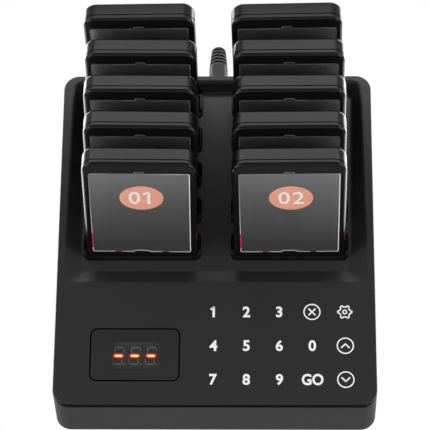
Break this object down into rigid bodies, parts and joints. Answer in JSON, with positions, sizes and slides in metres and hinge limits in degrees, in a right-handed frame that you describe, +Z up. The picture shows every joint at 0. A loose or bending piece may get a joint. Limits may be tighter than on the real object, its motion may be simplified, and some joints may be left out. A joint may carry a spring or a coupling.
{
  "type": "guest pager system",
  "caption": "Wedge-shaped charging base with a touch keypad and digit display, and card-shaped guest pagers standing in two columns of glossy sockets.",
  "frame": {"origin": "on the surface the base stands on, under the middle of the base", "axes": "+X to the right and +Y to the back for someone at the keypad, +Z up"},
  "size_m": [0.201, 0.2916, 0.1563],
  "materials": {
    "housing_plastic": "satin, fine moulded grain",
    "deck_plastic": "satin, fine moulded grain",
    "socket_plastic": "gloss black",
    "contact_metal": "gold-plated pins on small boards",
    "window_plastic": "dark tinted window",
    "display_plastic": "black display block on a board",
    "board_laminate": "circuit board",
    "can_metal": "plain",
    "foot_rubber": "matte",
    "screw_steel": "plain",
    "jack_plastic": "plain",
    "plug_plastic": "plain",
    "boot_rubber": "plain",
    "cord_jacket": "plain",
    "adapter_plastic": "satin",
    "pager_plastic": "glossy face, satin sides",
    "pager_lens": "clear acrylic",
    "pager_inside": "number card, board, cell and motor"
  },
  "bodies": {
    "base": {"base_housing": "housing_plastic", "top_cover": "deck_plastic", "socket_frame_left": "socket_plastic", "socket_frame_right": "socket_plastic", "charge_contacts": "contact_metal", "display_window": "window_plastic", "display_module": "display_plastic", "touch_board": "board_laminate", "main_board": "board_laminate", "radio_module": "can_metal", "feet": "foot_rubber", "housing_screws": "screw_steel", "dc_jack": "jack_plastic", "dc_plug": "plug_plastic", "strain_relief": "boot_rubber", "power_cord": "cord_jacket", "cord_coil": "cord_jacket", "wall_adapter": "adapter_plastic"},
    "pager_01": {"pager_01_back_shell": "pager_plastic", "pager_01_front_shell": "pager_plastic", "pager_01_lens": "pager_lens", "pager_01_inside": "pager_inside"},
    "pager_02": {"pager_02_back_shell": "pager_plastic", "pager_02_front_shell": "pager_plastic", "pager_02_lens": "pager_lens", "pager_02_inside": "pager_inside"},
    "pager_03": {"pager_03_back_shell": "pager_plastic", "pager_03_front_shell": "pager_plastic", "pager_03_lens": "pager_lens", "pager_03_inside": "pager_inside"},
    "pager_04": {"pager_04_back_shell": "pager_plastic", "pager_04_front_shell": "pager_plastic", "pager_04_lens": "pager_lens", "pager_04_inside": "pager_inside"},
    "pager_05": {"pager_05_back_shell": "pager_plastic", "pager_05_front_shell": "pager_plastic", "pager_05_lens": "pager_lens", "pager_05_inside": "pager_inside"},
    "pager_06": {"pager_06_back_shell": "pager_plastic", "pager_06_front_shell": "pager_plastic", "pager_06_lens": "pager_lens", "pager_06_inside": "pager_inside"},
    "pager_07": {"pager_07_back_shell": "pager_plastic", "pager_07_front_shell": "pager_plastic", "pager_07_lens": "pager_lens", "pager_07_inside": "pager_inside"},
    "pager_08": {"pager_08_back_shell": "pager_plastic", "pager_08_front_shell": "pager_plastic", "pager_08_lens": "pager_lens", "pager_08_inside": "pager_inside"},
    "pager_09": {"pager_09_back_shell": "pager_plastic", "pager_09_front_shell": "pager_plastic", "pager_09_lens": "pager_lens", "pager_09_inside": "pager_inside"},
    "pager_10": {"pager_10_back_shell": "pager_plastic", "pager_10_front_shell": "pager_plastic", "pager_10_lens": "pager_lens", "pager_10_inside": "pager_inside"}
  },
  "joints": [
    {"name": "pager_01_lift", "type": "slide", "parent": "base", "child": "pager_01", "axis": [0.0153, 0.108, 0.994], "range_m": [0, 0.1]},
    {"name": "pager_02_lift", "type": "slide", "parent": "base", "child": "pager_02", "axis": [-0.0113, 0.108, 0.9941], "range_m": [0, 0.1]},
    {"name": "pager_03_lift", "type": "slide", "parent": "base", "child": "pager_03", "axis": [0.017, 0.108, 0.994], "range_m": [0, 0.1]},
    {"name": "pager_04_lift", "type": "slide", "parent": "base", "child": "pager_04", "axis": [-0.009, 0.108, 0.9941], "range_m": [0, 0.1]},
    {"name": "pager_05_lift", "type": "slide", "parent": "base", "child": "pager_05", "axis": [0.0085, 0.108, 0.9941], "range_m": [0, 0.1]},
    {"name": "pager_06_lift", "type": "slide", "parent": "base", "child": "pager_06", "axis": [-0.0068, 0.108, 0.9941], "range_m": [0, 0.1]},
    {"name": "pager_07_lift", "type": "slide", "parent": "base", "child": "pager_07", "axis": [0.0068, 0.108, 0.9941], "range_m": [0, 0.1]},
    {"name": "pager_08_lift", "type": "slide", "parent": "base", "child": "pager_08", "axis": [-0.0079, 0.108, 0.9941], "range_m": [0, 0.1]},
    {"name": "pager_09_lift", "type": "slide", "parent": "base", "child": "pager_09", "axis": [-0.0136, 0.108, 0.9941], "range_m": [0, 0.1]},
    {"name": "pager_10_lift", "type": "slide", "parent": "base", "child": "pager_10", "axis": [-0.0221, 0.108, 0.9939], "range_m": [0, 0.1]}
  ]
}
